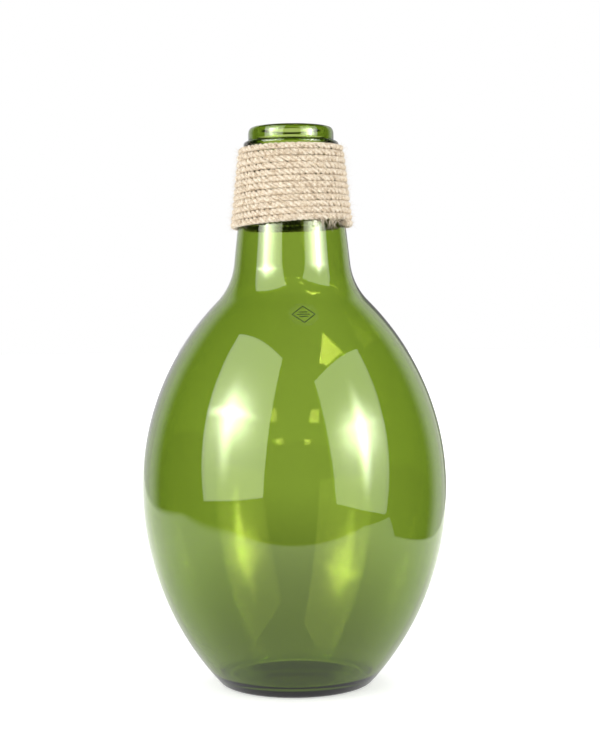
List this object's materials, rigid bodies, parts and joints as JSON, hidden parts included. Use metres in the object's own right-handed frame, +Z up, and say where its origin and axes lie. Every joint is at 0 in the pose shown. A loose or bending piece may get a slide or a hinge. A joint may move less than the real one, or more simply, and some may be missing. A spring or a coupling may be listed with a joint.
{
  "type": "glass carboy",
  "caption": "Hollow egg-shaped green glass carboy with a tapered neck, a collar and a lip, and jute rope wound round the neck.",
  "frame": {"origin": "centre of the plane that the foot stands on", "axes": "+Z up the bottle's axis to the mouth, -Y towards the front, where the label is"},
  "size_m": [0.2408, 0.2408, 0.44],
  "materials": {
    "green_glass": "clear olive-green, smooth",
    "jute": "natural three-strand laid rope",
    "hot_melt": "translucent hot-melt glue",
    "label_film": "clear film with a plain printed mark"
  },
  "bodies": {
    "root": {"glass_bottle": "green_glass", "jute_rope": "jute", "glue_beads": "hot_melt", "clear_label": "label_film"}
  },
  "joints": []
}
